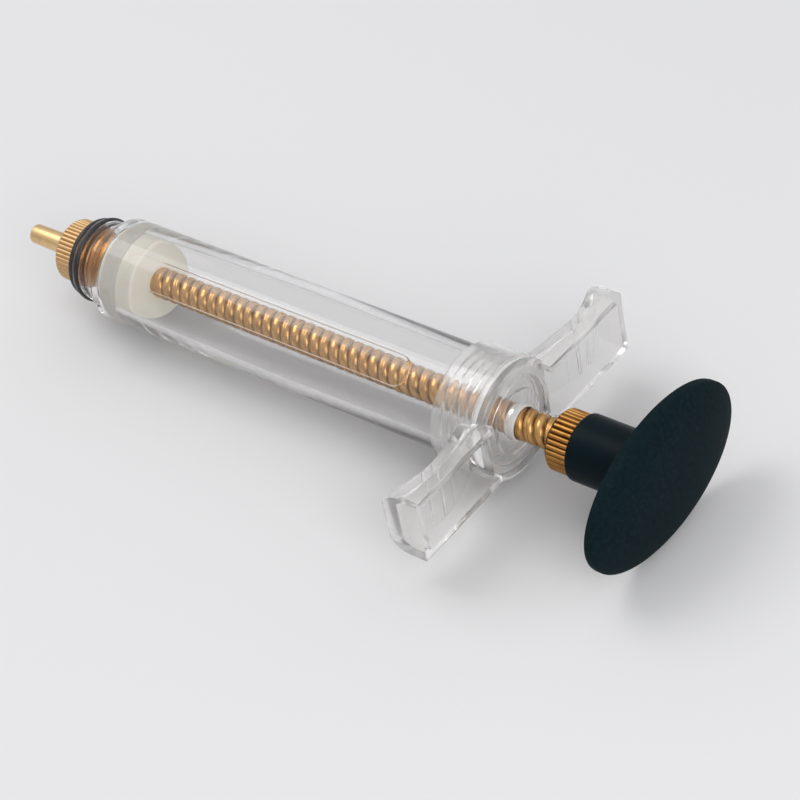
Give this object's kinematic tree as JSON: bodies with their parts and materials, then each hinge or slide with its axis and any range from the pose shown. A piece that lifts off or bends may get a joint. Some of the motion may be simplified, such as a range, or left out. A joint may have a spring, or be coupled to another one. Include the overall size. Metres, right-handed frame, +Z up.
{
  "type": "dosing syringe",
  "caption": "Reusable dosing syringe with a clear barrel, winged screw cap, brass nozzle, threaded brass rod, dose nut, nylon piston and oval thumb knob.",
  "frame": {"origin": "on the axis of the barrel at the tip of the nozzle's spigot", "axes": "+X along the barrel, from the nozzle tip to the thumb knob; +Y along the finger wings; +Z up, square to the wings"},
  "size_m": [0.166, 0.0674, 0.0302],
  "materials": {
    "clear_barrel": "clear, polished",
    "clear_cap": "clear, moulded",
    "brass": "turned and knurled, bare",
    "black_rubber": "satin",
    "silicone": "translucent, satin",
    "white_nylon": "satin",
    "cream_nylon": "satin, turned",
    "seal_rubber": "satin",
    "knob_plastic": "satin hub, finely textured matt pad"
  },
  "bodies": {
    "barrel": {"barrel": "clear_barrel", "nozzle": "brass", "nozzle_oring": "black_rubber", "neck_ring": "black_rubber", "winged_cap": "clear_cap", "cap_gasket": "silicone", "rod_bush": "white_nylon"},
    "piston": {"piston_disc": "cream_nylon", "piston_seal": "seal_rubber", "piston_body": "cream_nylon"},
    "plunger": {"rod": "brass", "piston_nut": "brass", "knob": "knob_plastic", "knob_insert": "brass"},
    "dose_nut": {"dose_nut": "brass"}
  },
  "joints": [
    {"name": "plunger_slide", "type": "slide", "parent": "barrel", "child": "piston", "axis": [1, 0, 0], "range_m": [0, 0.0905]},
    {"name": "knob_turn", "type": "hinge", "parent": "piston", "child": "plunger", "pos_m": [0.1, 0, 0], "axis": [1, 0, 0], "continuous": true},
    {"name": "dose_nut_travel", "type": "slide", "parent": "plunger", "child": "dose_nut", "axis": [-1, 0, 0], "range_m": [0, 0.0082]}
  ]
}
